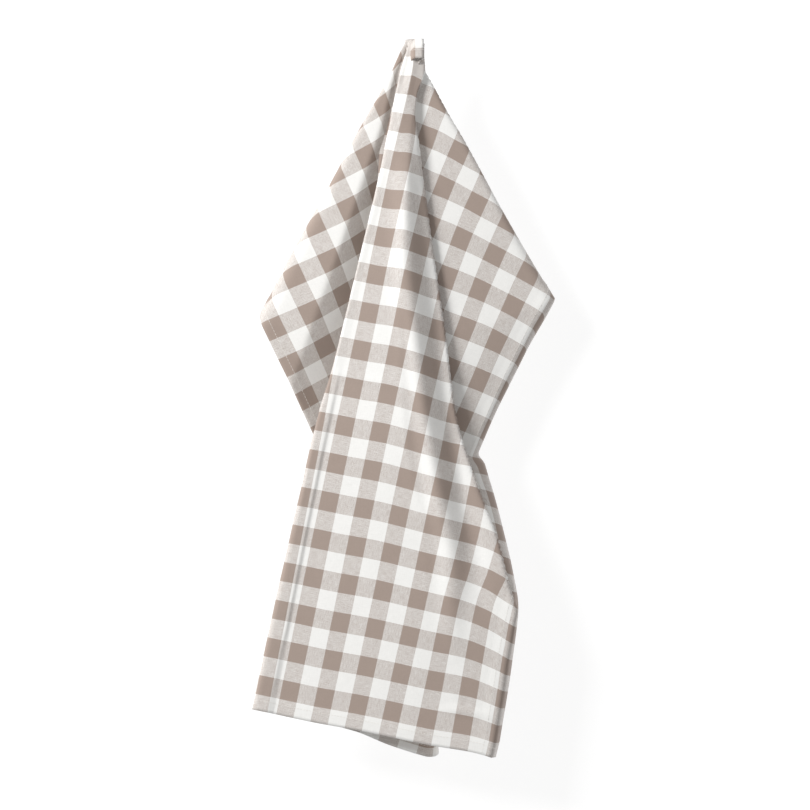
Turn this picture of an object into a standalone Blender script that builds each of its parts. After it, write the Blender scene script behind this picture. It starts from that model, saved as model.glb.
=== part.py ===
"""A cotton tea towel that hangs from one point near the middle of its top hem.

The origin is the point that it hangs from. The front faces -Y, +X is to the right and +Z is up.
A point of the flat cloth is known by its distance from the hang point and by its flat angle, which is
0 straight down the cloth and grows to the right. Cloth that hangs from one point is a folded cone, so
each flat angle has one hung angle, measured from plumb in the front view, and a depth.
"""

import math
from collections import namedtuple

import bmesh
import bpy
import numpy as np

MM = 0.001

# The flat cloth, in metres
CLOTH_WIDTH = 0.50
CLOTH_LENGTH = 0.70
THICKNESS = 1.2 * MM
HANG_FROM_LEFT = 0.262
HANG_FROM_TOP = 0.024
LEFT = HANG_FROM_LEFT
RIGHT = CLOTH_WIDTH - HANG_FROM_LEFT
DOWN = CLOTH_LENGTH - HANG_FROM_TOP
TOP_LEFT_DEG = -math.degrees(math.atan2(LEFT, -HANG_FROM_TOP))
TOP_RIGHT_DEG = math.degrees(math.atan2(RIGHT, -HANG_FROM_TOP))
BOTTOM_LEFT_DEG = -math.degrees(math.atan2(LEFT, DOWN))
BOTTOM_RIGHT_DEG = math.degrees(math.atan2(RIGHT, DOWN))

# The folds, from the middle of the top hem round by the left side. A row of three gives the value at
# NEAR, WAIST and HEM metres from the hang point. Depths are in mm, more to the back.
NEAR = 0.10
WAIST = 0.40
HEM = 0.70
Fold = namedtuple("Fold", "name flat_deg hung_deg depth_before depth_after")
LEFT_BACK_FOLDS = (
    Fold("top hem", (-180, -180, -180), (0, 0, 0), (10, 10, 10), (10, 10, 10)),
    Fold("left strip", (-104, -104, -104), (19.7, 19.7, 19.7), (10.5, 10.5, 10.5), (14.5, 14.5, 14.5)),
    Fold("left corner", (TOP_LEFT_DEG,) * 3, (11, 11, 11), (15, 56, 56), (15, 56, 56)),
)
LEFT_FOLDS = (
    Fold("left slope", (-49, -46, -46), (-19, -19.3, -19.3), (1, 8, 30), (1, 8, 30)),
    Fold("left wing", (-40, -38, -38), (-12.8, -11.8, -11.8), (9, 28, 40), (9, 28, 40)),
    Fold("back roll", (-19, -18.3, -19.7), (1.9, 2.4, 3.8), (2.5, 20, 34), (-1, 2, -5)),
)
RIGHT_BACK_FOLDS = (
    Fold("right corner", (TOP_RIGHT_DEG,) * 3, (-9.4, -9.4, -9.4), (6.5, 44, 44), (6.5, 44, 44)),
    Fold("right strip", (104, 104, 104), (-17.6, -17.6, -17.6), (6.5, 6.5, 6.5), (10, 10, 10)),
    Fold("top hem", (180, 180, 180), (0, 0, 0), (10, 10, 10), (10, 10, 10)),
)

# The outer folds and the front panel's creases, with a row for every distance that they bend at
Crease = namedtuple("Crease", "distance flat_deg hung_deg depth_before depth_after")
LEFT_OUTER = (
    Crease(0.052, -66, -31.6, 9, 1),
    Crease(0.10, -61, -30.8, 12, 1),
    Crease(0.16, -58.5, -30.0, 18, 2),
    Crease(0.265, -56, -29.6, 27, 4),
    Crease(0.31, -55.5, -29.5, 32, 5),
)
PANEL_LEFT = (
    Crease(0.037, -15.5, -18.4, -3, -6),
    Crease(0.057, -10.3, -16.1, -4.5, -8),
    Crease(0.095, -5.3, -14.2, -6.5, -11),
    Crease(0.145, -3.2, -13.2, -8, -15),
    Crease(0.25, -3.1, -13.1, -11, -21),
    Crease(0.40, -3.1, -13.1, -15, -26),
    Crease(0.70, -3.3, -13.6, -15, -28),
)
PANEL_STRIP = (
    Crease(0.037, -9.0, -10, -5, -5),
    Crease(0.057, -6.0, -11.8, -8, -8),
    Crease(0.095, -2.5, -11.4, -12, -12),
    Crease(0.145, -1.6, -11.7, -16, -16),
    Crease(0.25, -2.1, -12.2, -21, -21),
    Crease(0.40, -2.1, -12.3, -26, -26),
    Crease(0.70, -1.3, -11.9, -28, -28),
)
PANEL_CREASE = (
    Crease(0.037, 3.1, 0.5, -8, -8),
    Crease(0.057, 2.0, -3.8, -10, -10),
    Crease(0.095, 1.2, -7.6, -13, -13),
    Crease(0.145, 0.4, -9.8, -16, -16),
    Crease(0.25, -0.9, -11.6, -20, -20),
    Crease(0.40, -0.9, -12.0, -22.5, -22.5),
    Crease(0.70, -0.4, -11.7, -23, -23),
)
PANEL_MIDDLE = (
    Crease(0.037, 20, 9, -6, -6),
    Crease(0.057, 13, 2.5, -8, -8),
    Crease(0.095, 9, -0.3, -12, -12),
    Crease(0.145, 9, -1.4, -18, -18),
    Crease(0.25, 9, -2.6, -24, -24),
    Crease(0.40, 11.5, -0.6, -29, -29),
    Crease(0.50, 14, 1.6, -28, -28),
    Crease(0.70, 12, -0.6, -26, -26),
)
PANEL_RIGHT = (
    Crease(0.037, 37, 22, -4, -1),
    Crease(0.057, 21, 6.0, -7, -4),
    Crease(0.080, 15, 3.4, -9, -6),
    Crease(0.105, 15.8, 5.2, -10, -6),
    Crease(0.20, 17.5, 5.8, -11, -7),
    Crease(0.36, 18.9, 6.1, -13, -9),
    Crease(0.39, 19.7, 6.9, -14, -10),
    Crease(0.41, 20.6, 7.8, -14, -11),
    Crease(0.45, 21.7, 8.8, -16, -13),
    Crease(0.50, 22.9, 10.0, -19, -17),
    Crease(0.53, 23.4, 10.2, -22, -20),
    Crease(0.56, 24.5, 10.4, -24, -23),
    Crease(0.60, 25.0, 11.2, -25, -25),
    Crease(0.65, 26.0, 12.8, -25, -25),
    Crease(0.70, 27.0, 14.2, -25, -25),
)
RIGHT_OUTER = (
    Crease(0.044, 47.5, 26.5, 0, 4),
    Crease(0.08, 49.5, 27.5, 0, 5),
    Crease(0.11, 51.6, 28.4, 1, 6),
    Crease(0.19, 53.8, 29.2, 4, 15),
    Crease(0.29, 55.5, 30.5, 9, 30),
)
# The pleat beside the front panel
Pleat = namedtuple("Pleat", "distance width_deg lean depth_before depth_after")
PLEAT = (
    Pleat(0.04, 2.0, -1.0, -0.5, 1.0),
    Pleat(0.10, 4.5, -1.0, -3.0, 0.0),
    Pleat(0.15, 5.5, -1.0, -2.0, 1.0),
    Pleat(0.36, 6.0, -1.0, -3.0, 2.0),
    Pleat(0.41, 6.2, -1.0, -5.0, 0.0),
    Pleat(0.45, 4.0, -1.0, -8.0, -4.0),
    Pleat(0.50, 2.2, -1.0, -13.0, -10.0),
    Pleat(0.54, 1.2, -0.6, -18.0, -16.0),
    Pleat(0.58, 1.2, 0.8, -24.0, -24.0),
    Pleat(0.70, 2.0, 1.0, -24.0, -24.0),
)
# The right hem below the right corner: how much nearer to plumb it hangs than it lies flat, and its depth
HemEdge = namedtuple("HemEdge", "distance lean_deg depth")
RIGHT_HEM = (
    HemEdge(0.29, 25.0, 9),
    HemEdge(0.36, 25.6, 12),
    HemEdge(0.39, 25.8, 11),
    HemEdge(0.408, 25.7, 9),
    HemEdge(0.42, 23.8, 6),
    HemEdge(0.452, 20.7, 2),
    HemEdge(0.485, 18.3, -4),
    HemEdge(0.52, 16.2, -11),
    HemEdge(0.56, 14.5, -18),
    HemEdge(0.60, 13.8, -23),
    HemEdge(0.65, 13.1, -25),
    HemEdge(0.70, 12.7, -25),
)
# Soft ridges and troughs of the front panel: flat angle, half width, start, end, depth in mm
Wave = namedtuple("Wave", "name flat_deg half_width_deg starts ends depth")
WAVES = (
    Wave("ridge", 2.0, 3.0, 0.05, 0.46, -6),
    Wave("trough", 9.5, 3.5, 0.10, 0.46, 7),
    Wave("low trough", 14.0, 3.5, 0.38, 0.62, 7),
)

# Length that small ripples take up, in mm, by flat angle at NEAR, WAIST and HEM; below 0 it is stretched
TakeUp = namedtuple("TakeUp", "flat_deg at_near at_waist at_hem")
TAKE_UP = (
    TakeUp(-104, 0, 0, 0),
    TakeUp(-80, 8, 9, 9),
    TakeUp(-60, 10, 7, 7),
    TakeUp(-45, 8, 4, 4),
    TakeUp(-24, 2, 4, 22),
    TakeUp(-21, 2, 4, 19),
    TakeUp(-17.5, 0, 0, 4),
    TakeUp(-15, 0, 0, 5),
    TakeUp(-12, 0, 0, 9),
    TakeUp(-6, 0, 0, 6),
    TakeUp(-3, 0, 0, 1),
    TakeUp(3, -1, 0, 0),
    TakeUp(8, 0, 1, 2),
    TakeUp(14, 0, -1, 4),
    TakeUp(18, 0, -2, 7),
    TakeUp(21, 0, -1, 2),
    TakeUp(24, 0, -4, -10),
    TakeUp(28, 0, -8, -15),
    TakeUp(31, 0, -9, -13),
    TakeUp(36, 1, -4, -4),
    TakeUp(41, 1, 0, 0),
    TakeUp(46, 0, 0, 0),
    TakeUp(55, 0, -6, -4),
    TakeUp(104, 0, 0, 0),
)

# The hood over the hang point, where the folds haven't opened yet
HOOD_HALF_ANGLE_DEG = 29.5
HOOD_SIDE_DEG = 55.5
HOOD_WIDEN = 5 * MM
HOOD_DEPTH = 8 * MM
FOLDS_START = 0.012
FOLDS_FULL = 0.050

# The grid: rings from the hang point to the hem, and the share of a fold's turn at each of its lines
RINGS = 19
RING_GRADING = 1.6
TURN_LINES = (-1.2, -0.5, 0.0, 0.5, 1.2)
TURN_STEEP = 0.6
GAP_SHARE = 0.38
PLEAT_LEAST_DEG = 2.0
PANEL_ROWS = ["panel left", "panel strip", "panel crease", "panel middle", "panel right"]
ROWS = (
    [f.name for f in LEFT_BACK_FOLDS]
    + ["left outer"]
    + [f.name for f in LEFT_FOLDS]
    + PANEL_ROWS
    + ["pleat", "right outer"]
    + [f.name for f in RIGHT_BACK_FOLDS]
)
UNTURNED = (
    "left corner",
    "left slope",
    "left wing",
    "panel strip",
    "panel crease",
    "panel middle",
    "right corner",
    "top hem",
)
PANEL_LINES = (3, 1, 3, 1, 1, 3, 2, 0, 1, 2, 3, 2, 7, 3, 1, 3)


def along(rows, r):
    """A smooth curve through (place, value) rows that never overshoots them, level beyond both ends."""
    x, y = np.array(rows, float).T
    rise = np.diff(y) / np.diff(x)
    both = rise[:-1] * rise[1:]
    middle = np.where(both > 0, 2 * both / np.where(both > 0, rise[:-1] + rise[1:], 1), 0)
    slope = np.concatenate([rise[:1], middle, rise[-1:]])
    i = np.clip(np.searchsorted(x, r) - 1, 0, len(x) - 2)
    step = x[i + 1] - x[i]
    t = np.clip((r - x[i]) / step, 0, 1)
    start = y[i] * (1 + 2 * t) + slope[i] * step * t
    end = y[i + 1] * (3 - 2 * t) - slope[i + 1] * step * (1 - t)
    return start * (1 - t) ** 2 + end * t**2


def levels(values, r):
    return along(tuple(zip((NEAR, WAIST, HEM), values)), r)


def smooth(t):
    t = np.clip(t, 0, 1)
    return t * t * (3 - 2 * t)


def ramp(x, half):
    """0 before the corner and x after it, with the corner rounded over half on each side."""
    half = np.maximum(half, 1e-6)
    bend = (x + half) ** 2 / (4 * half)
    return np.where(x <= -half, 0.0, np.where(x >= half, x, bend))


def fold_row(fold, r):
    return [levels(v, r) for v in (fold.flat_deg, fold.hung_deg, fold.depth_before, fold.depth_after)]


def by_distance(table, r):
    """Each column of a table whose first column is the distance, at distance r."""
    places = [row[0] for row in table]
    return [along(list(zip(places, column)), r) for column in list(zip(*table))[1:]]


def right_side(r):
    """The right outer fold, or the right hem where the cloth reaches no further."""
    flat, hung, before, after = by_distance(RIGHT_OUTER, r)
    lean, depth = by_distance(RIGHT_HEM, r)
    low = r > RIGHT_HEM[0].distance
    hem = np.degrees(np.arcsin(np.clip(RIGHT / np.maximum(r, RIGHT), 0, 1)))
    flat = np.where(low, np.minimum(hem, flat), flat)
    return [flat, np.where(low, flat - lean, hung), np.where(low, depth, before), after]


def fold_lines(r):
    """Flat angle, hung angle and the depths either side of each fold at distance r, as arrays."""
    rows = [fold_row(fold, r) for fold in LEFT_BACK_FOLDS]
    rows.append(by_distance(LEFT_OUTER, r))
    rows += [fold_row(fold, r) for fold in LEFT_FOLDS]
    rows += [by_distance(creases, r) for creases in (PANEL_LEFT, PANEL_STRIP, PANEL_CREASE, PANEL_MIDDLE)]
    edge = right_side(r)
    middle = rows[-1][0]
    panel, hung, before, after = by_distance(PANEL_RIGHT, r)
    flat = np.maximum(np.minimum(panel, edge[0] - 0.2), middle + 0.2)
    hung = hung - (panel - flat)
    rows.append([flat, hung, before, after])
    width, lean, pleat_before, pleat_after = by_distance(PLEAT, r)
    pleat = np.minimum(flat + width, (flat + edge[0]) / 2)
    rows.append([pleat, hung + lean * (pleat - flat), pleat_before, pleat_after])
    rows.append(edge)
    rows += [fold_row(fold, r) for fold in RIGHT_BACK_FOLDS]
    return np.array(rows).transpose(1, 0, 2)


def turns(flat, before, after, r):
    """Half the width of each fold's turn, as a flat angle: half of a half circle between the layers."""
    half = np.degrees(math.pi / 4 * np.abs(after - before) * MM / np.maximum(r, 5 * MM))
    gap = np.diff(flat, axis=0)
    room = np.minimum(np.vstack([gap[:1], gap]), np.vstack([gap, gap[-1:]]))
    return np.clip(half, 0.02, GAP_SHARE * room)


def folded(flat_deg, r):
    """The hung angle and the depth in metres of cloth at a flat angle and distance r."""
    flat, hung, before, after = fold_lines(r)
    half = turns(flat, before, after, r)
    slope = np.diff(hung, axis=0) / np.diff(flat, axis=0)
    angle = hung[0] + slope[0] * (flat_deg - flat[0])
    for i in range(1, len(flat) - 1):
        angle = angle + (slope[i] - slope[i - 1]) * ramp(flat_deg - flat[i], half[i])
    knots = [flat[0]]
    values = [before[0]]
    rounding = [half[0]]
    for i in range(1, len(flat) - 1):
        steep = TURN_STEEP * half[i]
        knots += [flat[i] - steep, flat[i] + steep]
        values += [before[i], after[i]]
        rounding += [steep, steep]
    knots.append(flat[-1])
    values.append(after[-1])
    tilt = [(values[k + 1] - values[k]) / (knots[k + 1] - knots[k]) for k in range(len(knots) - 1)]
    depth = values[0] + tilt[0] * (flat_deg - knots[0])
    for k in range(1, len(knots) - 1):
        depth = depth + (tilt[k] - tilt[k - 1]) * ramp(flat_deg - knots[k], rounding[k])
    for wave in WAVES:
        across = np.exp(-(((flat_deg - wave.flat_deg) / wave.half_width_deg) ** 2))
        down = smooth((r - wave.starts) / 0.12) * smooth((wave.ends - r) / 0.12)
        depth = depth + wave.depth * across * down
    return angle, depth * MM


def hood(flat_deg, r):
    """The plain cap over the hang point, as (x, y)."""
    turn = np.interp(flat_deg, (-180, -HOOD_SIDE_DEG, HOOD_SIDE_DEG, 180), (-180, -90, 90, 180))
    spread = math.sin(math.radians(HOOD_HALF_ANGLE_DEG))
    ease = HOOD_WIDEN / (1 - spread)
    wide = spread * r + HOOD_WIDEN * (1 - np.exp(-r / ease))
    deep = HOOD_DEPTH * (1 - np.exp(-r / HOOD_DEPTH))
    return wide * np.sin(np.radians(turn)), -deep * np.cos(np.radians(turn))


def take_up(flat_deg, r):
    near, waist, hem = by_distance(TAKE_UP, flat_deg)
    upper = near * smooth(r / NEAR)
    middle = smooth((r - NEAR) / (WAIST - NEAR)) * (waist - near)
    lower = smooth((r - WAIST) / (HEM - WAIST)) * (hem - waist)
    return (upper + middle + lower) * MM


def hang(flat_deg, r):
    """Where the cloth at a flat angle and distance r hangs."""
    angle, depth = folded(flat_deg, r)
    hood_x, hood_y = hood(flat_deg, r)
    open_share = smooth((r - FOLDS_START) / (FOLDS_FULL - FOLDS_START))
    r = np.maximum(r - take_up(flat_deg, r), 0)
    x = hood_x + open_share * (r * np.sin(np.radians(angle)) - hood_x)
    y = hood_y + open_share * (depth - hood_y)
    z = -np.sqrt(np.maximum(r * r - x * x - y * y, 0))
    return np.stack([x, y, z], axis=-1)


def reach(flat_deg):
    """How far the hem is from the hang point at a flat angle."""
    across = np.sin(np.radians(flat_deg))
    down = np.cos(np.radians(flat_deg))
    side = np.where(across < 0, LEFT, RIGHT) / np.maximum(np.abs(across), 1e-9)
    end = np.where(down < 0, HANG_FROM_TOP, DOWN) / np.maximum(np.abs(down), 1e-9)
    return np.minimum(side, end)


def lines_at(r):
    """The flat angles of the grid's lines at distance r: each fold's turn, then the panel after it."""
    flat, _, before, after = fold_lines(r)
    half = turns(flat, before, after, r)
    panel = np.maximum(by_distance(PANEL_RIGHT, r)[0], flat[ROWS.index("panel middle")] + PLEAT_LEAST_DEG)
    flat[ROWS.index("panel right")] = panel
    flat[ROWS.index("pleat")] = panel + np.maximum(by_distance(PLEAT, r)[0], PLEAT_LEAST_DEG)
    flat[ROWS.index("right outer")] = by_distance(RIGHT_OUTER, r)[0]
    lines = [flat[0]]
    last = flat[0]
    for i in range(1, len(flat)):
        shares = (0,) if ROWS[i] in UNTURNED else TURN_LINES
        turn = [flat[i] + k * half[i] for k in shares]
        extra = PANEL_LINES[i - 1]
        lines += [last + (turn[0] - last) * k / (extra + 1) for k in range(1, extra + 1)]
        lines += turn
        last = turn[-1]
    return np.array(lines)


def flat_grid():
    """Flat angle and distance at each line and ring, with a line through each bottom corner."""
    count = len(lines_at(np.array([HEM])))
    index = np.arange(count)
    share = (np.arange(RINGS + 1) / RINGS) ** RING_GRADING
    r = np.full((count, RINGS + 1), 0.2)
    for _ in range(12):
        angle = lines_at(r.ravel()).reshape(count, count, RINGS + 1)[index, index]
        for corner in (BOTTOM_LEFT_DEG, BOTTOM_RIGHT_DEG, TOP_LEFT_DEG, TOP_RIGHT_DEG):
            near = np.argmin(np.abs(angle[:, -1] - corner))
            angle[near] += (corner - angle[near, -1]) * share**2
        r = share * reach(angle)
    return angle, r


def make_towel():
    angle, r = flat_grid()
    place = hang(angle.ravel(), r.ravel()).reshape(*r.shape, 3)
    bm = bmesh.new()
    bmesh.ops.create_grid(bm, x_segments=r.shape[0] - 1, y_segments=RINGS, size=0.5)
    for vert in bm.verts:
        line = round((vert.co.x + 0.5) * (r.shape[0] - 1))
        ring = round((vert.co.y + 0.5) * RINGS)
        vert.co = place[line, ring]
    bmesh.ops.remove_doubles(bm, verts=bm.verts, dist=1e-6)
    bmesh.ops.recalc_face_normals(bm, faces=bm.faces)
    mesh = bpy.data.meshes.new("towel")
    bm.to_mesh(mesh)
    bm.free()
    towel = bpy.data.objects.new("towel", mesh)
    solid = towel.modifiers.new("cloth thickness", "SOLIDIFY")
    solid.thickness = THICKNESS
    solid.offset = 0.0
    return towel


def cotton():
    material = bpy.data.materials.new("woven_cotton")
    material.use_nodes = True
    shader = material.node_tree.nodes["Principled BSDF"]
    shader.inputs["Base Color"].default_value = (0.60, 0.52, 0.46, 1.0)
    shader.inputs["Roughness"].default_value = 0.9
    shader.inputs["Metallic"].default_value = 0.0
    return material


for old in list(bpy.data.objects):
    bpy.data.objects.remove(old, do_unlink=True)

tea_towel = bpy.data.collections.new("tea_towel")
bpy.context.scene.collection.children.link(tea_towel)
cloth = make_towel()
cloth.data.materials.append(cotton())
tea_towel.objects.link(cloth)
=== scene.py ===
"""A gingham tea towel that hangs in folds from one point of its top hem."""

import math
from collections import namedtuple

import bpy
import numpy as np
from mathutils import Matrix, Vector


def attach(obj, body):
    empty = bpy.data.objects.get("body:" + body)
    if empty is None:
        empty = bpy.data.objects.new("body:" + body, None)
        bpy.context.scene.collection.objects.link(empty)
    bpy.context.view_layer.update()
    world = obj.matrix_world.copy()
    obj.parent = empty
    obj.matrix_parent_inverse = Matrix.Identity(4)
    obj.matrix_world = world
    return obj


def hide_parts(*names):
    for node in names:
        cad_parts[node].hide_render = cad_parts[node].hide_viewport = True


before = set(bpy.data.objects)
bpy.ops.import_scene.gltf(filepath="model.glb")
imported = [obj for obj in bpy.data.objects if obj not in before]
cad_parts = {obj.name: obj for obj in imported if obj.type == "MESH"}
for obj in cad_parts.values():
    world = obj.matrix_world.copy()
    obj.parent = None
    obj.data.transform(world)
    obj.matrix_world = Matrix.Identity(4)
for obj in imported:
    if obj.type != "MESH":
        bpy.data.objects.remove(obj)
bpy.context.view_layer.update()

# Tea towel: one length of plain-woven cotton, 50 x 70 cm, cut square and hemmed on four sides.
# It hangs from one point near the middle of its top hem, so it is a cone of cloth pressed into folds.
# It is made flat, as a grid, and each point is then moved to where its folds hang it.

# The flat cloth, the point that it hangs from, and the two top corners' flat angles about that point
MM = 0.001
CLOTH_WIDTH = 0.50
CLOTH_LENGTH = 0.70
CHECKS_ACROSS = 26.5
CHECK_SQUARE = CLOTH_WIDTH / CHECKS_ACROSS
HANG_FROM_LEFT = 0.262
HANG_FROM_TOP = 0.024
HANG_FROM_RIGHT = CLOTH_WIDTH - HANG_FROM_LEFT
TOP_LEFT_DEG = -math.degrees(math.atan2(HANG_FROM_LEFT, -HANG_FROM_TOP))
TOP_RIGHT_DEG = math.degrees(math.atan2(HANG_FROM_RIGHT, -HANG_FROM_TOP))

# The hems are thicker than the cloth, and thin out over HEM_STEP. Mesh cells are finer by the hang point.
CLOTH_THICKNESS = 0.5 * MM
HEM_THICKNESS = 1.5 * MM
HEM_STEP = 3 * MM
LEFT_HEM = 10 * MM
RIGHT_HEM = 15.5 * MM
END_HEM = 12 * MM
BOTTOM_HEM_SLIP = 4.8 * MM
HEM_CELLS = 4
CELL = 3.4 * MM
FINE_CELL = 1.5 * MM
FINE_REACH = 24 * MM

# Each fold's flat angle about the hang point, hung angle from plumb, and depth in mm before and after it,
# at TIP, NEAR, WAIST and LOW metres from the hang point. The folds run from the top hem round by the left.
TIP = 0.03
NEAR = 0.10
WAIST = 0.40
LOW = 0.70
Fold = namedtuple("Fold", "name flat_deg hung_deg depth_before depth_after")
LEFT_BACK_FOLDS = (
    Fold("top hem", (-180,) * 4, (0,) * 4, (8, 10, 10, 10), (8, 10, 10, 10)),
    Fold("left strip", (-104,) * 4, (15, 19.7, 19.7, 19.7), (8.5, 10.5, 10.5, 10.5), (10, 14.5, 14.5, 14.5)),
    Fold("left corner", (TOP_LEFT_DEG,) * 4, (8, 11, 11, 11), (10, 15, 56, 56), (10, 15, 56, 56)),
)
LEFT_FOLDS = (
    Fold("left slope", (-52, -49, -46, -46), (-26, -19, -19.3, -19.3), (1, 1, 8, 30), (1, 1, 8, 30)),
    Fold("left wing", (-44, -40, -38, -38), (-22, -12.8, -11.8, -11.8), (3, 9, 28, 40), (3, 9, 28, 40)),
    Fold("back roll", (-30, -19, -18.3, -19.7), (-5, 1.9, 2.4, 3.3), (1, 2.5, 20, 34), (-1, -1, 2, -5)),
)
RIGHT_BACK_FOLDS = (
    Fold("right corner", (TOP_RIGHT_DEG,) * 4, (-7, -9.4, -9.4, -9.4), (4, 6.5, 44, 44), (4, 6.5, 44, 44)),
    Fold("right strip", (104,) * 4, (-12, -17.6, -17.6, -17.6), (4, 6.5, 6.5, 6.5), (7, 10, 10, 10)),
    Fold("top hem", (180,) * 4, (0,) * 4, (8, 10, 10, 10), (8, 10, 10, 10)),
)

# The outer folds and the front panel's creases bend more, so each has a row for every distance that it
# bends at. Close to the hang point the cloth is bunched 18 mm wide, so the angles there are large.
Crease = namedtuple("Crease", "distance flat_deg hung_deg depth_before depth_after")
LEFT_OUTER = (
    Crease(0.0045, -84, -80, 2, 0),
    Crease(0.011, -83, -47, 4, 0),
    Crease(0.0275, -78, -34.8, 8, 1),
    Crease(0.052, -66, -31.6, 9, 1),
    Crease(0.10, -63, -32.4, 12, 1),
    Crease(0.16, -60.4, -31.6, 18, 2),
    Crease(0.265, -57.7, -31.1, 27, 4),
    Crease(0.31, -57.0, -30.8, 32, 5),
)
RIGHT_OUTER = (
    Crease(0.008, 88, 84, 0, 2),
    Crease(0.013, 80, 78, 0, 3),
    Crease(0.018, 70, 47, 0, 4),
    Crease(0.026, 55, 31, 0, 4),
    Crease(0.036, 47, 24.5, 0, 4),
    Crease(0.044, 47.5, 26.5, 0, 4),
    Crease(0.08, 49.5, 27.5, 0, 5),
    Crease(0.11, 51.6, 28.4, 1, 6),
    Crease(0.19, 53.8, 29.2, 4, 15),
    Crease(0.29, 55.5, 30.5, 9, 30),
)
PANEL_LEFT = (
    Crease(0.0047, -60, -70, 0, -1),
    Crease(0.008, -40, -35, -1, -3),
    Crease(0.014, -24, -21, -2, -4),
    Crease(0.037, -15.5, -18.4, -3, -6),
    Crease(0.057, -10.3, -16.1, -4.5, -8),
    Crease(0.095, -5.3, -14.2, -6.5, -11),
    Crease(0.145, -3.2, -13.2, -8, -15),
    Crease(0.25, -3.2, -13.3, -11, -20),
    Crease(0.33, -3.3, -13.5, -13, -22),
    Crease(0.385, -3.9, -14.1, -14, -24),
    Crease(0.48, -3.7, -13.9, -15, -26),
    Crease(0.56, -3.6, -13.8, -15, -26),
    Crease(0.70, -3.4, -13.6, -15, -27),
)
PANEL_STRIP = (
    Crease(0.015, -8, -5, -4, -4),
    Crease(0.037, -9.0, -10, -5, -5),
    Crease(0.057, -6.0, -11.8, -8, -8),
    Crease(0.095, -2.5, -11.4, -12, -12),
    Crease(0.145, -1.6, -11.7, -16, -16),
    Crease(0.25, -2.1, -12.4, -20, -20),
    Crease(0.33, -2.2, -12.4, -22, -22),
    Crease(0.40, -2.3, -12.5, -25, -25),
    Crease(0.70, -1.5, -12.0, -27, -27),
)
PANEL_CREASE = (
    Crease(0.015, 7, 9, -5, -5),
    Crease(0.037, 3.1, 0.5, -8, -8),
    Crease(0.057, 2.0, -3.8, -10, -10),
    Crease(0.095, 1.2, -7.6, -13, -13),
    Crease(0.145, 0.4, -9.8, -16, -16),
    Crease(0.25, -0.9, -11.6, -20, -20),
    Crease(0.33, -0.6, -11.6, -22, -22),
    Crease(0.40, -0.4, -11.6, -23.4, -23.4),
    Crease(0.70, 0.0, -11.4, -25, -25),
)
PANEL_MIDDLE = (
    Crease(0.015, 30, 24, -3, -3),
    Crease(0.037, 20, 9, -6, -6),
    Crease(0.057, 13, 2.5, -8, -8),
    Crease(0.095, 9, -0.3, -12, -12),
    Crease(0.145, 9, -1.4, -18, -18),
    Crease(0.25, 9, -2.6, -24, -24),
    Crease(0.40, 11.5, -0.6, -29, -29),
    Crease(0.50, 14, 1.6, -28, -28),
    Crease(0.70, 12, -0.6, -26, -26),
)
PANEL_RIGHT = (
    Crease(0.015, 44, 42, -1, 1),
    Crease(0.037, 37, 22, -4, -1),
    Crease(0.057, 21, 6.0, -7, -4),
    Crease(0.080, 15, 3.4, -9, -6),
    Crease(0.105, 15.8, 5.2, -10, -6),
    Crease(0.20, 18.0, 6.2, -11, -8),
    Crease(0.30, 19.3, 6.9, -12, -9),
    Crease(0.36, 19.8, 6.9, -13, -10),
    Crease(0.39, 20.1, 7.3, -13, -10),
    Crease(0.41, 20.6, 7.8, -14, -11),
    Crease(0.45, 21.7, 8.8, -16, -13),
    Crease(0.50, 22.9, 10.0, -19, -17),
    Crease(0.53, 23.4, 10.2, -22, -20),
    Crease(0.56, 24.5, 10.4, -24, -23),
    Crease(0.60, 25.0, 11.2, -25, -25),
    Crease(0.65, 26.0, 12.8, -25, -25),
    Crease(0.70, 27.0, 14.2, -25, -25),
)

# The pleat to the right of the panel's right crease: its flat width, the angle that it hangs at for each
# degree of that width, below 0 where it turns back under the panel, and its depths
Pleat = namedtuple("Pleat", "distance width_deg lean depth_before depth_after")
PLEAT = (
    Pleat(0.04, 2.0, -1.0, -0.5, 1.0),
    Pleat(0.10, 4.5, -1.0, -3.5, -1.5),
    Pleat(0.15, 5.5, -1.0, -4.5, -2.5),
    Pleat(0.36, 5.7, -1.0, -6.0, -3.0),
    Pleat(0.41, 6.2, -1.0, -6.0, -3.0),
    Pleat(0.45, 4.0, -1.0, -8.0, -4.0),
    Pleat(0.50, 2.2, -1.0, -13.0, -10.0),
    Pleat(0.54, 1.2, -0.6, -18.0, -16.0),
    Pleat(0.58, 1.2, 0.8, -24.0, -24.0),
    Pleat(0.70, 2.0, 1.0, -24.0, -24.0),
)

# The right hem below the right corner: how much nearer to plumb it hangs than it lies flat, and its depth
HemEdge = namedtuple("HemEdge", "distance lean_deg depth")
RIGHT_EDGE = (
    HemEdge(0.29, 25.0, 9),
    HemEdge(0.36, 25.6, 12),
    HemEdge(0.39, 25.8, 11),
    HemEdge(0.408, 25.7, 9),
    HemEdge(0.42, 23.8, 6),
    HemEdge(0.452, 20.7, 2),
    HemEdge(0.485, 18.3, -4),
    HemEdge(0.52, 16.2, -11),
    HemEdge(0.56, 14.5, -18),
    HemEdge(0.60, 13.8, -23),
    HemEdge(0.65, 13.1, -25),
    HemEdge(0.70, 12.7, -25),
)

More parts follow.
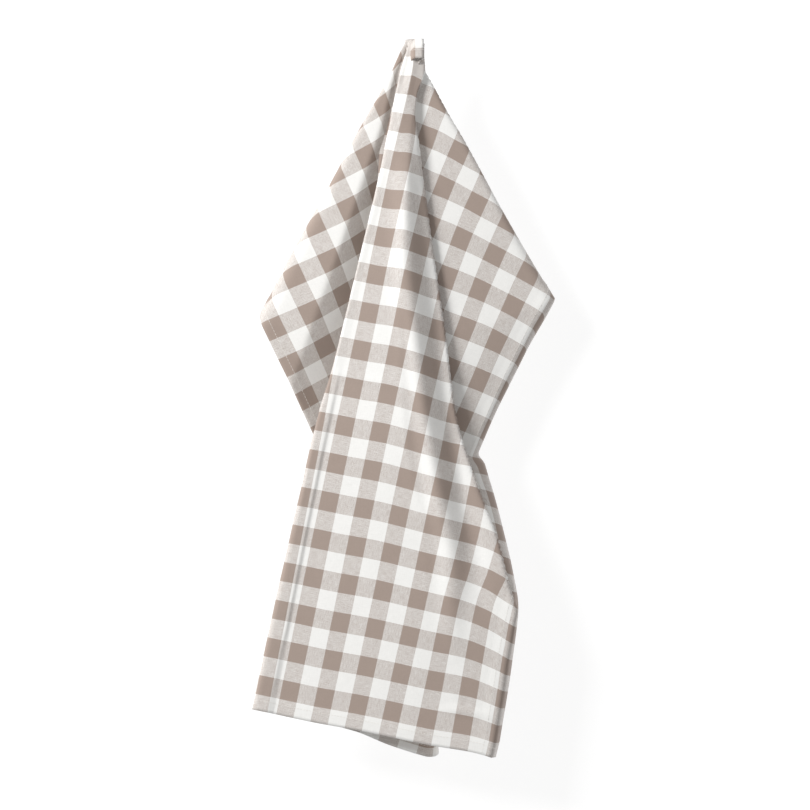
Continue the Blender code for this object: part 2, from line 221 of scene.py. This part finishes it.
# Length that small ripples take up, in mm, by flat angle at NEAR, WAIST and LOW; below 0 it is stretched
TakeUp = namedtuple("TakeUp", "flat_deg at_near at_waist at_low")
TAKE_UP = (
    TakeUp(-104, 0, 0, 0),
    TakeUp(-80, 8, 9, 9),
    TakeUp(-60, 10, 7, 7),
    TakeUp(-45, 8, 4, 4),
    TakeUp(-24, 2, 4, 22),
    TakeUp(-21, 2, 4, 19),
    TakeUp(-17.5, 0, 0, 4),
    TakeUp(-15, 0, 0, 5),
    TakeUp(-12, 0, 0, 9),
    TakeUp(-6, 0, 0, 6),
    TakeUp(-3, 0, 0, 1),
    TakeUp(3, -1, 0, 0),
    TakeUp(8, 0, 1, 2),
    TakeUp(14, 0, -1, 4),
    TakeUp(18, 0, -2, 7),
    TakeUp(21, 0, -1, 2),
    TakeUp(24, 0, -4, -10),
    TakeUp(28, 0, -8, -15),
    TakeUp(31, 0, -9, -13),
    TakeUp(36, 1, -4, -4),
    TakeUp(41, 1, 0, 0),
    TakeUp(46, 0, 0, 0),
    TakeUp(55, 0, -6, -4),
    TakeUp(104, 0, 0, 0),
)

# The two soft waves down the front panel: half width, then flat angle and depth in mm, each by distance.
# The shaded side of the ridge is the dark band beside the right fold.
Wave = namedtuple("Wave", "name half_width path depth")
WAVES = (
    Wave("middle ridge", 13 * MM, ((0.10, 8.0), (0.20, 10.8), (0.32, 13.6), (0.41, 15.4), (0.50, 17.0)),
         ((0.06, 0), (0.14, -4), (0.25, -8.5), (0.42, -9), (0.52, -5), (0.62, 0))),
    Wave("dark trough", 14 * MM, ((0.10, 12.5), (0.20, 14.8), (0.36, 17.4), (0.45, 18.8), (0.56, 20.5)),
         ((0.08, 0), (0.16, 3.5), (0.30, 5.5), (0.45, 5), (0.58, 0))),
)

# The cloth is bunched flat at the hang point, and its folds reach their full depth at this distance
FULL_DEPTH_AT = 0.016

# The bit of top hem that has flopped forward: where it starts and ends to the right of the hang point,
# how softly, and where it lands. It is squeezed a little, and hangs in front of the bunched cloth.
FLAP_LEFT = 20 * MM
FLAP_RIGHT = 31 * MM
FLAP_BLEND = 6 * MM
FLAP_BASE = 4 * MM
FLAP_START = 3.4 * MM
FLAP_SQUEEZE = 0.84
FLAP_TOP = 0.5 * MM
FLAP_NEAR = 2 * MM
FLAP_FRONT = 8 * MM
FLAP_TURN = 9 * MM

# Sharp lines left from when it lay folded: start and end in check squares across and down, and height
# in mm. They fade over PRESS_FADE squares at both ends.
Press = namedtuple("Press", "name start end height")
PRESSES = (
    Press("middle of the length", (12.5, 19.1), (17.8, 19.3), 0.7),
    Press("beside the left crease", (13.35, 18.5), (13.35, 34.0), 0.4),
    Press("low at the right", (22.6, 35.15), (26.5, 35.0), 1.5),
    Press("middle of the width", (13.25, 22.0), (13.2, 36.5), 0.3),
)
PRESS_WIDTH = 3.5 * MM
PRESS_FADE = 1.5

# A fold's turn takes up at most TURN_SHARE of the gap to the next fold, and at least that share of
# LEAST_GAP_DEG. Its depth changes within STEEP_PART of it, and closer in than TIGHTEST it grows no wider.
# The panel's right crease stays APART_DEG clear of the folds on both sides of it.
TURN_SHARE = 0.38
LEAST_GAP_DEG = 0.5
STEEP_PART = 0.6
TIGHTEST = 5 * MM
APART_DEG = 0.2


def along(rows, x):
    """A smooth curve through (place, value) rows that never overshoots them, level beyond both ends."""
    places, values = np.array(rows, float).T
    rise = np.diff(values) / np.diff(places)
    both = rise[:-1] * rise[1:]
    middle = np.where(both > 0, 2 * both / np.where(both > 0, rise[:-1] + rise[1:], 1), 0)
    slope = np.concatenate([rise[:1], middle, rise[-1:]])
    i = np.clip(np.searchsorted(places, x) - 1, 0, len(places) - 2)
    step = places[i + 1] - places[i]
    t = np.clip((x - places[i]) / step, 0, 1)
    start = values[i] * (1 + 2 * t) + slope[i] * step * t
    end = values[i + 1] * (3 - 2 * t) - slope[i + 1] * step * (1 - t)
    return start * (1 - t) ** 2 + end * t**2


def levels(values, r):
    """The value at distance r of a row that has one for TIP, NEAR, WAIST and LOW."""
    return along(tuple(zip((TIP, NEAR, WAIST, LOW), values)), r)


def smooth(t):
    """Eases from 0 to 1 as t does."""
    t = np.clip(t, 0, 1)
    return t * t * (3 - 2 * t)


def ramp(x, half):
    """0 before the corner and x after it, with the corner rounded over half on each side."""
    half = np.maximum(half, 1e-6)
    return np.where(x <= -half, 0.0, np.where(x >= half, x, (x + half) ** 2 / (4 * half)))


def fold_row(fold, r):
    """A fold's flat angle, hung angle and two depths at distance r."""
    return [levels(v, r) for v in (fold.flat_deg, fold.hung_deg, fold.depth_before, fold.depth_after)]


def columns_at(table, place):
    """Each other column of a table, at a place along its first column."""
    places = [row[0] for row in table]
    return [along(list(zip(places, column)), place) for column in list(zip(*table))[1:]]


def right_side(r):
    """The right outer fold, or the right hem where the cloth reaches no further."""
    flat, hung, before, after = columns_at(RIGHT_OUTER, r)
    lean, depth = columns_at(RIGHT_EDGE, r)
    low = r > RIGHT_EDGE[0].distance
    hem = np.degrees(np.arcsin(HANG_FROM_RIGHT / np.maximum(r, HANG_FROM_RIGHT)))
    flat = np.where(low, np.minimum(hem, flat), flat)
    return [flat, np.where(low, flat - lean, hung), np.where(low, depth, before), after]


def fold_lines(r):
    """Flat angle, hung angle and the depths either side of each fold at distance r, as arrays."""
    rows = [fold_row(fold, r) for fold in LEFT_BACK_FOLDS]
    rows.append(columns_at(LEFT_OUTER, r))
    rows += [fold_row(fold, r) for fold in LEFT_FOLDS]
    rows += [columns_at(creases, r) for creases in (PANEL_LEFT, PANEL_STRIP, PANEL_CREASE, PANEL_MIDDLE)]
    edge = right_side(r)
    middle = rows[-1][0]
    panel, hung, before, after = columns_at(PANEL_RIGHT, r)
    flat = np.maximum(np.minimum(panel, edge[0] - APART_DEG), middle + APART_DEG)
    hung = hung - (panel - flat)
    rows.append([flat, hung, before, after])
    width, lean, pleat_before, pleat_after = columns_at(PLEAT, r)
    pleat = np.minimum(flat + width, (flat + edge[0]) / 2)
    rows.append([pleat, hung + lean * (pleat - flat), pleat_before, pleat_after])
    rows.append(edge)
    rows += [fold_row(fold, r) for fold in RIGHT_BACK_FOLDS]
    return np.array(rows).transpose(1, 0, 2)


def turns(flat, before, after, r):
    """Half the width of each fold's turn, as a flat angle: half of a half circle between the layers."""
    half = np.degrees(math.pi / 4 * np.abs(after - before) * MM / np.maximum(r, TIGHTEST))
    gap = np.diff(flat, axis=0)
    room = np.minimum(np.vstack([gap[:1], gap]), np.vstack([gap, gap[-1:]]))
    return np.clip(half, TURN_SHARE * np.minimum(room, LEAST_GAP_DEG), TURN_SHARE * room)


def folded(flat_deg, r):
    """The hung angle and the depth in metres of cloth at a flat angle and distance r."""
    flat, hung, before, after = fold_lines(r)
    half = turns(flat, before, after, r)
    slope = np.diff(hung, axis=0) / np.diff(flat, axis=0)
    angle = hung[0] + slope[0] * (flat_deg - flat[0])
    knots = [flat[0]]
    depths = [before[0]]
    rounding = [half[0]]
    for i in range(1, len(flat) - 1):
        angle = angle + (slope[i] - slope[i - 1]) * ramp(flat_deg - flat[i], half[i])
        steep = STEEP_PART * half[i]
        knots += [flat[i] - steep, flat[i] + steep]
        depths += [before[i], after[i]]
        rounding += [steep, steep]
    knots.append(flat[-1])
    depths.append(after[-1])
    tilt = [(depths[k + 1] - depths[k]) / (knots[k + 1] - knots[k]) for k in range(len(knots) - 1)]
    depth = depths[0] + tilt[0] * (flat_deg - knots[0])
    for k in range(1, len(knots) - 1):
        depth = depth + (tilt[k] - tilt[k - 1]) * ramp(flat_deg - knots[k], rounding[k])
    for wave in WAVES:
        off = np.radians(flat_deg - along(wave.path, r)) * r / wave.half_width
        depth = depth + along(wave.depth, r) * np.exp(-(off**2))
    return angle, depth * MM


def pressed(across, down):
    """How far the pressed lines lift the cloth towards the front."""
    lift = np.zeros_like(across)
    for press in PRESSES:
        (x0, y0), (x1, y1) = press.start, press.end
        x = (across + HANG_FROM_LEFT) / CHECK_SQUARE - x0
        y = (down + HANG_FROM_TOP) / CHECK_SQUARE - y0
        length = math.hypot(x1 - x0, y1 - y0)
        on = (x * (x1 - x0) + y * (y1 - y0)) / length
        off = (x * (y1 - y0) - y * (x1 - x0)) / length * CHECK_SQUARE
        ends = smooth(on / PRESS_FADE) * smooth((length - on) / PRESS_FADE)
        lift += press.height * MM * ends * np.exp(-((off / PRESS_WIDTH) ** 2))
    return lift


def take_up(flat_deg, r):
    """How much less than its length the cloth reaches down, at a flat angle and distance r."""
    near, waist, low = columns_at(TAKE_UP, flat_deg)
    near = near * smooth(r / NEAR)
    waist_share = smooth((r - NEAR) / (WAIST - NEAR))
    low_share = smooth((r - WAIST) / (LOW - WAIST))
    return (near + waist_share * (waist - near) + low_share * (low - waist)) * MM


def flopped(place, across, down):
    """The bit of the top hem that has flopped forward beside the hang point."""
    share = smooth((across - FLAP_LEFT + FLAP_BLEND) / FLAP_BLEND)
    share = share * smooth((FLAP_RIGHT - across) / FLAP_BLEND + 1)
    share = share * smooth((FLAP_BASE - down) / FLAP_BASE)
    over = np.maximum(-down, 0)
    x = FLAP_START + FLAP_SQUEEZE * (across - FLAP_LEFT)
    y = -FLAP_NEAR - FLAP_FRONT * smooth(over / FLAP_TURN)
    z = -FLAP_TOP - FLAP_SQUEEZE * over
    return place + share[..., None] * (np.stack([x, y, z], axis=-1) - place)


def hang(across, down):
    """Where a point of the flat cloth hangs; across and down are measured from the hang point."""
    r = np.hypot(across, down)
    flat_deg = np.degrees(np.arctan2(across, down))
    angle, depth = folded(flat_deg, r)
    hung = np.maximum(r - take_up(flat_deg, r), 0)
    x = hung * np.sin(np.radians(angle))
    y = (depth - pressed(across, down)) * smooth(r / FULL_DEPTH_AT)
    z = -np.sqrt(np.maximum(hung * hung - x * x - y * y, 0))
    return flopped(np.stack([x, y, z], axis=-1), across, down)


def thread_lines(length, first_hem, last_hem, fine_place):
    """Grid lines across the cloth: HEM_CELLS in each hem, close together by the hang point, then even."""
    fine_start = max(fine_place - FINE_REACH, first_hem)
    fine_end = fine_place + FINE_REACH
    first = np.linspace(0, first_hem, HEM_CELLS + 1)
    last = np.linspace(length - last_hem, length, HEM_CELLS + 1)
    lines = [first, last]
    for start, end, cell in (
        (first_hem, fine_start, CELL),
        (fine_start, fine_end, FINE_CELL),
        (fine_end, length - last_hem, CELL),
    ):
        lines.append(np.linspace(start, end, math.ceil((end - start) / cell) + 1))
    return np.unique(np.concatenate(lines).round(7))


def inside_hems(across, down):
    """How far a point is inside the nearest hem's inner edge; below 0 it is in a hem."""
    side = np.minimum(across - LEFT_HEM, CLOTH_WIDTH - RIGHT_HEM - across)
    return np.minimum(side, np.minimum(down, CLOTH_LENGTH - down) - END_HEM)


columns = thread_lines(CLOTH_WIDTH, LEFT_HEM, RIGHT_HEM, HANG_FROM_LEFT)
rows = thread_lines(CLOTH_LENGTH, END_HEM, END_HEM, HANG_FROM_TOP)
bpy.ops.object.select_all(action="DESELECT")
bpy.ops.mesh.primitive_grid_add(x_subdivisions=len(columns) - 1, y_subdivisions=len(rows) - 1, size=1)
towel = bpy.context.active_object
towel.name = "tea_towel"
towel.data.name = "tea_towel"
spots = np.array([v.co for v in towel.data.vertices])
column = np.rint((spots[:, 0] + 0.5) * (len(columns) - 1)).astype(int)
row = np.rint((0.5 - spots[:, 1]) * (len(rows) - 1)).astype(int)
flat = np.stack([columns[column], rows[row]], axis=1)
place = hang(flat[:, 0] - HANG_FROM_LEFT, flat[:, 1] - HANG_FROM_TOP)
towel.data.vertices.foreach_set("co", place.ravel())

corner_vertex = np.array([loop.vertex_index for loop in towel.data.loops])
cloth_map = towel.data.uv_layers[0]
cloth_map.name = "cloth"
uv = flat[corner_vertex].copy()
uv[:, 1] = CLOTH_LENGTH - uv[:, 1]
cloth_map.data.foreach_set("uv", uv.ravel())

thick = towel.vertex_groups.new(name="hem")
share = 1 - smooth(inside_hems(flat[:, 0], flat[:, 1]) / HEM_STEP)
for index, weight in enumerate(share):
    thick.add([index], float(weight), "REPLACE")
thickness = towel.modifiers.new("cloth thickness", "SOLIDIFY")
thickness.thickness = HEM_THICKNESS
thickness.offset = 0.0
thickness.vertex_group = "hem"
thickness.thickness_vertex_group = CLOTH_THICKNESS / HEM_THICKNESS
front_faces = len(towel.data.polygons)
bpy.ops.object.modifier_apply(modifier=thickness.name)
towel.data.shade_smooth()

# The hem's turned edge shows the other face of the cloth, so its check runs on past the edge. The bottom
# hem is turned twice, so its check starts a little further on.
cloth_map = towel.data.uv_layers["cloth"].data
for face in towel.data.polygons[front_faces : 2 * front_faces]:
    corners = [cloth_map[k].uv for k in face.loop_indices]
    across = sum(corner.x for corner in corners) / len(corners)
    up = sum(corner.y for corner in corners) / len(corners)
    for corner in corners:
        if across < LEFT_HEM:
            corner.x = -corner.x
        elif across > CLOTH_WIDTH - RIGHT_HEM:
            corner.x = 2 * CLOTH_WIDTH - corner.x
        if up < END_HEM:
            corner.y = BOTTOM_HEM_SLIP - corner.y
        elif up > CLOTH_LENGTH - END_HEM:
            corner.y = 2 * CLOTH_LENGTH - corner.y


# Woven cotton: matt plain weave of taupe and white yarn, in checks of 19 mm. Where both yarns are taupe
# the square is taupe, where both are white it is white, and where they cross it is a heathered mix.

TAUPE_YARN = "A8988E"
WHITE_YARN = "F6F5F2"
FIRST_ROW = 0.28 * CHECK_SQUARE

# The real yarns are about 0.4 mm apart. They are drawn further apart, so that they show in a render.
YARN_PITCH = 0.75 * MM
WEFT_ON_TOP = 0.26
WARP_ON_TOP = 0.74
HEATHER = 0.5
SLUB_LENGTH = 7 * MM
SLUB_DARK = 0.95
SLUB_PALE = 1.04
STREAK_LOW = 0.6
STREAK_HIGH = 1.4
WEAVE_STEP = 0.5
WEAVE_HEIGHT = 0.12 * MM
WEAVE_RELIEF = 0.2
RUMPLE_SIZE = 35 * MM
RUMPLE_HEIGHT = 2.5 * MM
RUMPLE_RELIEF = 0.22
COTTON_ROUGHNESS = 0.9
COTTON_SHEEN = 0.15
COTTON_SHEEN_ROUGHNESS = 0.5
COTTON_SPECULAR = 0.25


def linear(code):
    """An sRGB hex colour as linear RGBA."""
    parts = [int(code[i : i + 2], 16) / 255 for i in (0, 2, 4)]
    return [c / 12.92 if c <= 0.04045 else ((c + 0.055) / 1.055) ** 2.4 for c in parts] + [1.0]


def node(tree, kind, settings=None, **links):
    """Adds a node with its settings. Each of links names an input, where i2 is the third one, and gives
    its value, or the node or socket that it comes from."""
    new = tree.nodes.new(kind)
    for name, value in (settings or {}).items():
        setattr(new, name, value)
    for name, value in links.items():
        target = new.inputs[int(name[1:]) if name[1:].isdigit() else name]
        if isinstance(value, bpy.types.Node):
            value = value.outputs[0]
        if isinstance(value, bpy.types.NodeSocket):
            tree.links.new(value, target)
        else:
            target.default_value = value
    return new


def cotton_check():
    """The check and its weave, drawn on the flat cloth's own UV map, which is in metres."""
    material = bpy.data.materials.new("plain_woven_cotton_check")
    material.use_nodes = True
    tree = material.node_tree
    shader = tree.nodes["Principled BSDF"]
    uv = node(tree, "ShaderNodeUVMap", {"uv_map": "cloth"})
    place = node(tree, "ShaderNodeSeparateXYZ", i0=uv)
    across = node(tree, "ShaderNodeMath", {"operation": "DIVIDE"}, i0=place, i1=2 * CHECK_SQUARE)
    column = node(tree, "ShaderNodeMath", {"operation": "FRACT"}, i0=across)
    warp_taupe = node(tree, "ShaderNodeMath", {"operation": "LESS_THAN"}, i0=column, i1=0.5)
    row_start = CLOTH_LENGTH - FIRST_ROW - CHECK_SQUARE
    below = node(tree, "ShaderNodeMath", {"operation": "SUBTRACT"}, i0=row_start, i1=place.outputs[1])
    down = node(tree, "ShaderNodeMath", {"operation": "DIVIDE"}, i0=below, i1=2 * CHECK_SQUARE)
    row = node(tree, "ShaderNodeMath", {"operation": "FRACT"}, i0=down)
    weft_taupe = node(tree, "ShaderNodeMath", {"operation": "LESS_THAN"}, i0=row, i1=0.5)
    # each yarn is a little thicker and darker in places, in streaks that run along it
    warp_map = node(tree, "ShaderNodeMapping", Vector=uv, Scale=(1 / YARN_PITCH, 1 / SLUB_LENGTH, 1))
    warp_streak = node(tree, "ShaderNodeTexNoise", Vector=warp_map, Scale=1.0, Detail=2.0)
    weft_map = node(tree, "ShaderNodeMapping", Vector=uv, Scale=(1 / SLUB_LENGTH, 1 / YARN_PITCH, 1))
    weft_streak = node(tree, "ShaderNodeTexNoise", Vector=weft_map, Scale=1.0, Detail=2.0)
    # where the yarns cross, one or the other is on top
    yarns = node(tree, "ShaderNodeVectorMath", {"operation": "SCALE"}, i0=uv, Scale=1 / YARN_PITCH)
    weave = node(tree, "ShaderNodeTexChecker", i0=yarns, i1=(1, 1, 1, 1), i2=(0, 0, 0, 1), i3=1.0)
    crossing = node(tree, "ShaderNodeMapRange", Value=weave, i3=WEFT_ON_TOP, i4=WARP_ON_TOP)
    lean = node(tree, "ShaderNodeMath", {"operation": "SUBTRACT"}, i0=warp_streak, i1=weft_streak)
    heather = node(tree, "ShaderNodeMath", {"operation": "MULTIPLY"}, i0=lean, i1=HEATHER)
    top = node(tree, "ShaderNodeMath", {"operation": "ADD", "use_clamp": True}, i0=crossing, i1=heather)
    taupe = node(tree, "ShaderNodeMix", {"data_type": "FLOAT"}, i0=top, i2=weft_taupe, i3=warp_taupe)
    colour = node(tree, "ShaderNodeMix", {"data_type": "RGBA"}, i0=taupe)
    colour.inputs[6].default_value = linear(WHITE_YARN)
    colour.inputs[7].default_value = linear(TAUPE_YARN)
    streaks = node(tree, "ShaderNodeMath", {"operation": "ADD"}, i0=warp_streak, i1=weft_streak)
    shade = node(tree, "ShaderNodeMapRange", Value=streaks, i1=STREAK_LOW, i2=STREAK_HIGH)
    shade.inputs[3].default_value = SLUB_DARK
    shade.inputs[4].default_value = SLUB_PALE
    tint = node(tree, "ShaderNodeVectorMath", {"operation": "SCALE"}, i0=colour.outputs[2], Scale=shade)
    tree.links.new(tint.outputs[0], shader.inputs["Base Color"])
    # the weave stands up a little, and the cloth is softly rumpled
    raised = node(tree, "ShaderNodeMath", {"operation": "MULTIPLY_ADD"}, i0=weave, i1=WEAVE_STEP, i2=shade)
    woven = node(tree, "ShaderNodeBump", Strength=WEAVE_RELIEF, Distance=WEAVE_HEIGHT, Height=raised)
    rumple = node(tree, "ShaderNodeTexNoise", Vector=uv, Scale=1 / RUMPLE_SIZE, Detail=2.0)
    bump = node(tree, "ShaderNodeBump", Strength=RUMPLE_RELIEF, Distance=RUMPLE_HEIGHT, Height=rumple)
    tree.links.new(woven.outputs[0], bump.inputs["Normal"])
    tree.links.new(bump.outputs[0], shader.inputs["Normal"])
    shader.inputs["Roughness"].default_value = COTTON_ROUGHNESS
    shader.inputs["Sheen Weight"].default_value = COTTON_SHEEN
    shader.inputs["Sheen Roughness"].default_value = COTTON_SHEEN_ROUGHNESS
    shader.inputs["Specular IOR Level"].default_value = COTTON_SPECULAR
    return material


towel.data.materials.clear()
towel.data.materials.append(cotton_check())
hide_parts("towel")
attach(towel, "root")


# Hem stitching: a row of white cotton stitches along each hem, seen on both faces of the cloth.
# Each stitch is a short bowed thread that dips into the cloth at both ends, drawn as a round curve.

STITCH_PITCH = 3.4 * MM
STITCH_LENGTH = 2.5 * MM
THREAD_RADIUS = 0.22 * MM
STITCH_IN_HEM = 1.8 * MM
STITCH_RISE = 0.15 * MM
PROBE = 0.5 * MM
THREAD_WHITE = "EDEAE4"
THREAD_ROUGHNESS = 0.8


def on_face(across, down, face, lift):
    """A point lifted off the hem's front face (1) or back face (-1)."""
    here = hang(across, down)
    right = hang(across + PROBE, down) - hang(across - PROBE, down)
    up = hang(across, down - PROBE) - hang(across, down + PROBE)
    out = np.cross(right, up)
    out /= np.linalg.norm(out, axis=-1, keepdims=True)
    return here + face * (HEM_THICKNESS / 2 + lift) * out


left_row = LEFT_HEM - STITCH_IN_HEM
right_row = CLOTH_WIDTH - RIGHT_HEM + STITCH_IN_HEM
end_row = END_HEM - STITCH_IN_HEM
bottom_row = CLOTH_LENGTH - end_row
seams = (
    ((left_row, 0), (left_row, CLOTH_LENGTH)),
    ((right_row, 0), (right_row, CLOTH_LENGTH)),
    ((0, end_row), (CLOTH_WIDTH, end_row)),
    ((0, bottom_row), (CLOTH_WIDTH, bottom_row)),
)
thread = bpy.data.curves.new("hem_stitching", "CURVE")
thread.dimensions = "3D"
thread.bevel_depth = THREAD_RADIUS
thread.bevel_resolution = 0
for start, end in seams:
    start, end = np.array(start), np.array(end)
    length = np.linalg.norm(end - start)
    way = (end - start) / length
    middles = np.arange(STITCH_PITCH, length - STITCH_PITCH / 2, STITCH_PITCH)
    for face in (1, -1):
        stitch_points = []
        for offset, lift in ((-0.5, -STITCH_RISE), (0.0, STITCH_RISE), (0.5, -STITCH_RISE)):
            spot = start + way * (middles + offset * STITCH_LENGTH)[:, None]
            stitch_points.append(on_face(spot[:, 0] - HANG_FROM_LEFT, spot[:, 1] - HANG_FROM_TOP, face, lift))
        for stitch in np.stack(stitch_points, axis=1):
            spline = thread.splines.new("POLY")
            spline.points.add(2)
            for point, place in zip(spline.points, stitch):
                point.co = (*place, 1)
stitching = bpy.data.objects.new("hem_stitching", thread)
bpy.context.scene.collection.objects.link(stitching)
bpy.ops.object.select_all(action="DESELECT")
stitching.select_set(True)
bpy.context.view_layer.objects.active = stitching
bpy.ops.object.convert(target="MESH")
stitching = bpy.context.active_object
stitching.data.shade_smooth()
cotton_thread = bpy.data.materials.new("cotton_thread")
cotton_thread.use_nodes = True
thread_shader = cotton_thread.node_tree.nodes["Principled BSDF"]
thread_shader.inputs["Base Color"].default_value = linear(THREAD_WHITE)
thread_shader.inputs["Roughness"].default_value = THREAD_ROUGHNESS
stitching.data.materials.clear()
stitching.data.materials.append(cotton_thread)
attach(stitching, "root")


# Camera: straight in front of the towel, with the whole of it in view.

LENS_MM = 180
VIEW_WIDTH = 0.7955
VIEW_CENTRE = (-0.0059, -0.3604)
SENSOR_MM = 36
bpy.ops.object.select_all(action="DESELECT")
bpy.ops.object.camera_add(
    location=(VIEW_CENTRE[0], -VIEW_WIDTH * LENS_MM / SENSOR_MM, VIEW_CENTRE[1]),
    rotation=(math.radians(90), 0, 0),
)
camera = bpy.context.active_object
camera.name = "camera"
camera.data.lens = LENS_MM
camera.data.sensor_width = SENSOR_MM
bpy.context.scene.camera = camera

# the colours are shown as they are, with no film curve over them
bpy.context.scene.view_settings.view_transform = "Standard"


# Backdrop: plain white paper, close behind the towel, which takes a pale shadow. It glows a little, as
# paper with a light of its own does, and it is seen only from the front.

BACKDROP_GAP = 0.058
BACKDROP_SIZE = 8.0
PAPER_WHITE = "8C8C8C"
PAPER_GLOW = 0.84


def backdrop_white():
    """Matt white paper, clear from behind, so that the towel's back can be seen."""
    material = bpy.data.materials.new("white_paper")
    material.use_nodes = True
    tree = material.node_tree
    shader = tree.nodes["Principled BSDF"]
    shader.inputs["Base Color"].default_value = linear(PAPER_WHITE)
    shader.inputs["Roughness"].default_value = 1.0
    shader.inputs["Specular IOR Level"].default_value = 0.0
    shader.inputs["Emission Color"].default_value = linear("FFFFFF")
    shader.inputs["Emission Strength"].default_value = PAPER_GLOW
    clear = node(tree, "ShaderNodeBsdfTransparent")
    side = node(tree, "ShaderNodeNewGeometry").outputs["Backfacing"]
    mixed = node(tree, "ShaderNodeMixShader", i0=side, i1=shader, i2=clear)
    tree.links.new(mixed.outputs[0], tree.nodes["Material Output"].inputs["Surface"])
    return material


bpy.ops.object.select_all(action="DESELECT")
bpy.ops.mesh.primitive_plane_add(
    size=BACKDROP_SIZE, location=(0, BACKDROP_GAP, 0), rotation=(math.radians(90), 0, 0)
)
backdrop = bpy.context.active_object
backdrop.name = "backdrop"
bpy.ops.object.transform_apply(location=True, rotation=True, scale=True)
backdrop.data.materials.append(backdrop_white())


# Light: one large soft box in front of the towel, above it and to its left, and pale fill from all round.

KEY_PLACE = (-2.5, -2.2, 1.35)
KEY_AIM = (0, 0, -0.36)
KEY_SIZE = 1.2
KEY_POWER = 136
STUDIO_FILL = 0.42
aim = Vector(KEY_AIM) - Vector(KEY_PLACE)
bpy.ops.object.select_all(action="DESELECT")
bpy.ops.object.light_add(type="AREA", location=KEY_PLACE, rotation=aim.to_track_quat("-Z", "Y").to_euler())
key = bpy.context.active_object
key.name = "key"
key.data.shape = "SQUARE"
key.data.size = KEY_SIZE
key.data.energy = KEY_POWER
world = bpy.data.worlds.new("studio")
world.use_nodes = True
world.node_tree.nodes["Background"].inputs["Color"].default_value = (1, 1, 1, 1)
world.node_tree.nodes["Background"].inputs["Strength"].default_value = STUDIO_FILL
bpy.context.scene.world = world
